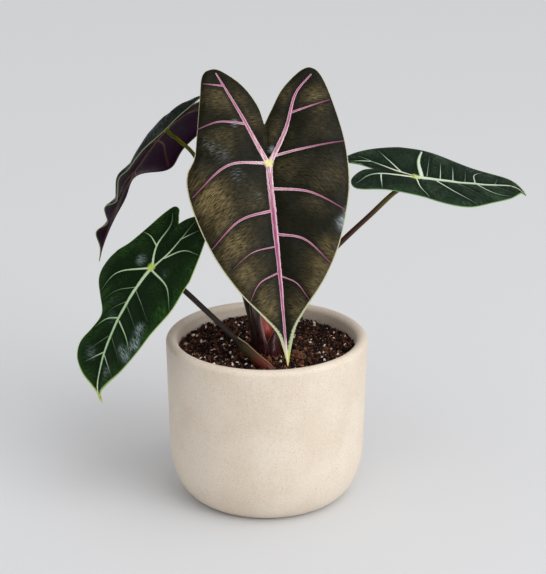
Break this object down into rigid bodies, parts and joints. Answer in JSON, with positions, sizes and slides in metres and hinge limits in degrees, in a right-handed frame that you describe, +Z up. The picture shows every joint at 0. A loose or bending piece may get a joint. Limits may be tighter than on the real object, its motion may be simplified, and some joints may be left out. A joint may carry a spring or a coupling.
{
  "type": "potted alocasia",
  "caption": "Arrow-leaved foliage plant on long curved stalks, growing in a plain rounded ceramic planter filled with chunky potting mix.",
  "frame": {"origin": "centre of the pot's flat base", "axes": "+Z up out of the pot, +X to the plant's right-hand leaf, -Y to the side that the big front leaf faces"},
  "size_m": [0.334, 0.1837, 0.3165],
  "materials": {
    "stoneware": "matt speckled cream stoneware",
    "potting_mix": "damp dark bark and coir mix",
    "corm": "rough brown skin",
    "dark_stalk": "smooth satin charcoal brown",
    "green_stalk": "smooth satin olive to dark brown",
    "bronze_leaf": "waxy near-black bronze with pink veins",
    "green_leaf": "waxy dark green with pale green veins",
    "purple_leaf": "waxy dark green above, deep purple below",
    "sheath": "glossy maroon with a paler edge",
    "bark": "fibrous brown bark",
    "perlite": "matt white, porous"
  },
  "bodies": {
    "root": {"pot": "stoneware", "potting_mix": "potting_mix", "corm": "corm", "stalk_front": "dark_stalk", "stalk_left": "dark_stalk", "stalk_right": "green_stalk", "stalk_back": "green_stalk", "blade_front": "bronze_leaf", "blade_left": "green_leaf", "blade_right": "green_leaf", "blade_back": "purple_leaf", "sheath_leaf_outer": "sheath", "sheath_leaf_inner": "sheath", "bark_chip_1": "bark", "bark_chip_2": "bark", "bark_chip_3": "bark", "bark_chip_4": "bark", "bark_chip_5": "bark", "bark_chip_6": "bark", "bark_chip_7": "bark", "bark_chip_8": "bark", "perlite_1": "perlite", "perlite_2": "perlite", "perlite_3": "perlite", "perlite_4": "perlite", "perlite_5": "perlite", "perlite_6": "perlite", "perlite_7": "perlite", "perlite_8": "perlite", "perlite_9": "perlite"}
  },
  "joints": []
}
